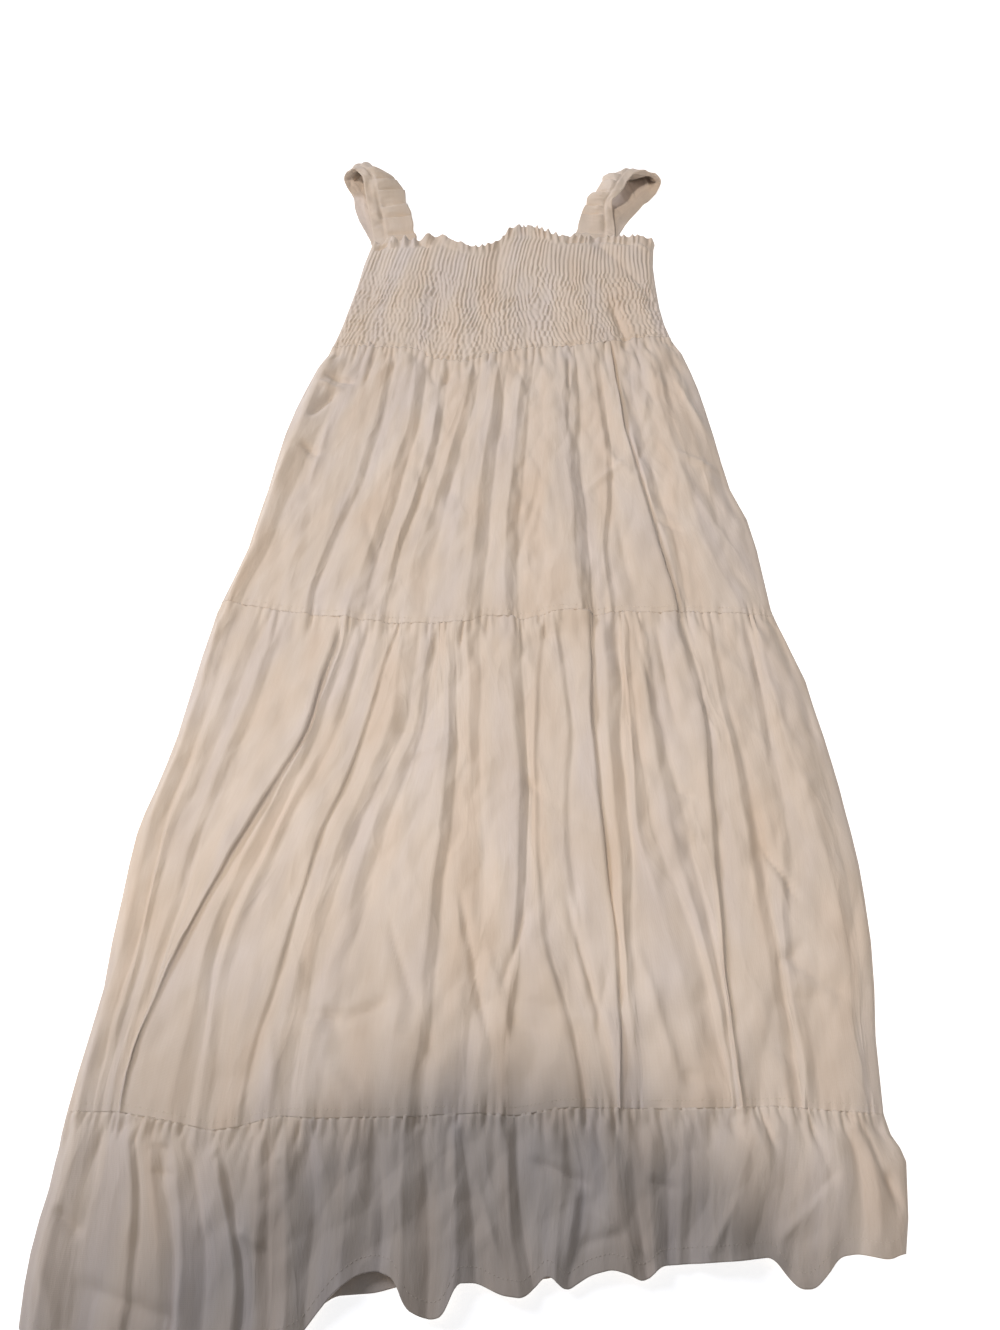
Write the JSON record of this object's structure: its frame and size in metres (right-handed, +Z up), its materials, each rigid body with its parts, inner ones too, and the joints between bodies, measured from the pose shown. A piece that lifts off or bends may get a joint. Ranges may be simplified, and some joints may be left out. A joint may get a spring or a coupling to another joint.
{
  "type": "smocked maxi dress",
  "caption": "Cream cotton maxi dress laid flat: smocked bodice with two ruffled straps, two gathered tiers and a hem flounce.",
  "frame": {"origin": "middle of the dress's bounding box, on the surface that it lies on", "axes": "+X to the right of the picture, +Y along the dress from hem to neck, +Z up from the surface"},
  "size_m": [0.694, 1.3512, 0.0335],
  "materials": {
    "cotton_bodice": "matt crinkled cotton",
    "cotton_straps": "matt crinkled cotton",
    "cotton_upper": "matt plain cotton",
    "cotton_middle": "matt plain cotton",
    "cotton_flounce": "matt plain cotton"
  },
  "bodies": {
    "root": {"bodice_front": "cotton_bodice", "bodice_back": "cotton_bodice", "strap_left": "cotton_straps", "strap_right": "cotton_straps", "upper_tier_front": "cotton_upper", "upper_tier_back": "cotton_upper", "middle_tier_front": "cotton_middle", "middle_tier_back": "cotton_middle", "hem_flounce_front": "cotton_flounce", "hem_flounce_back": "cotton_flounce"}
  },
  "joints": []
}
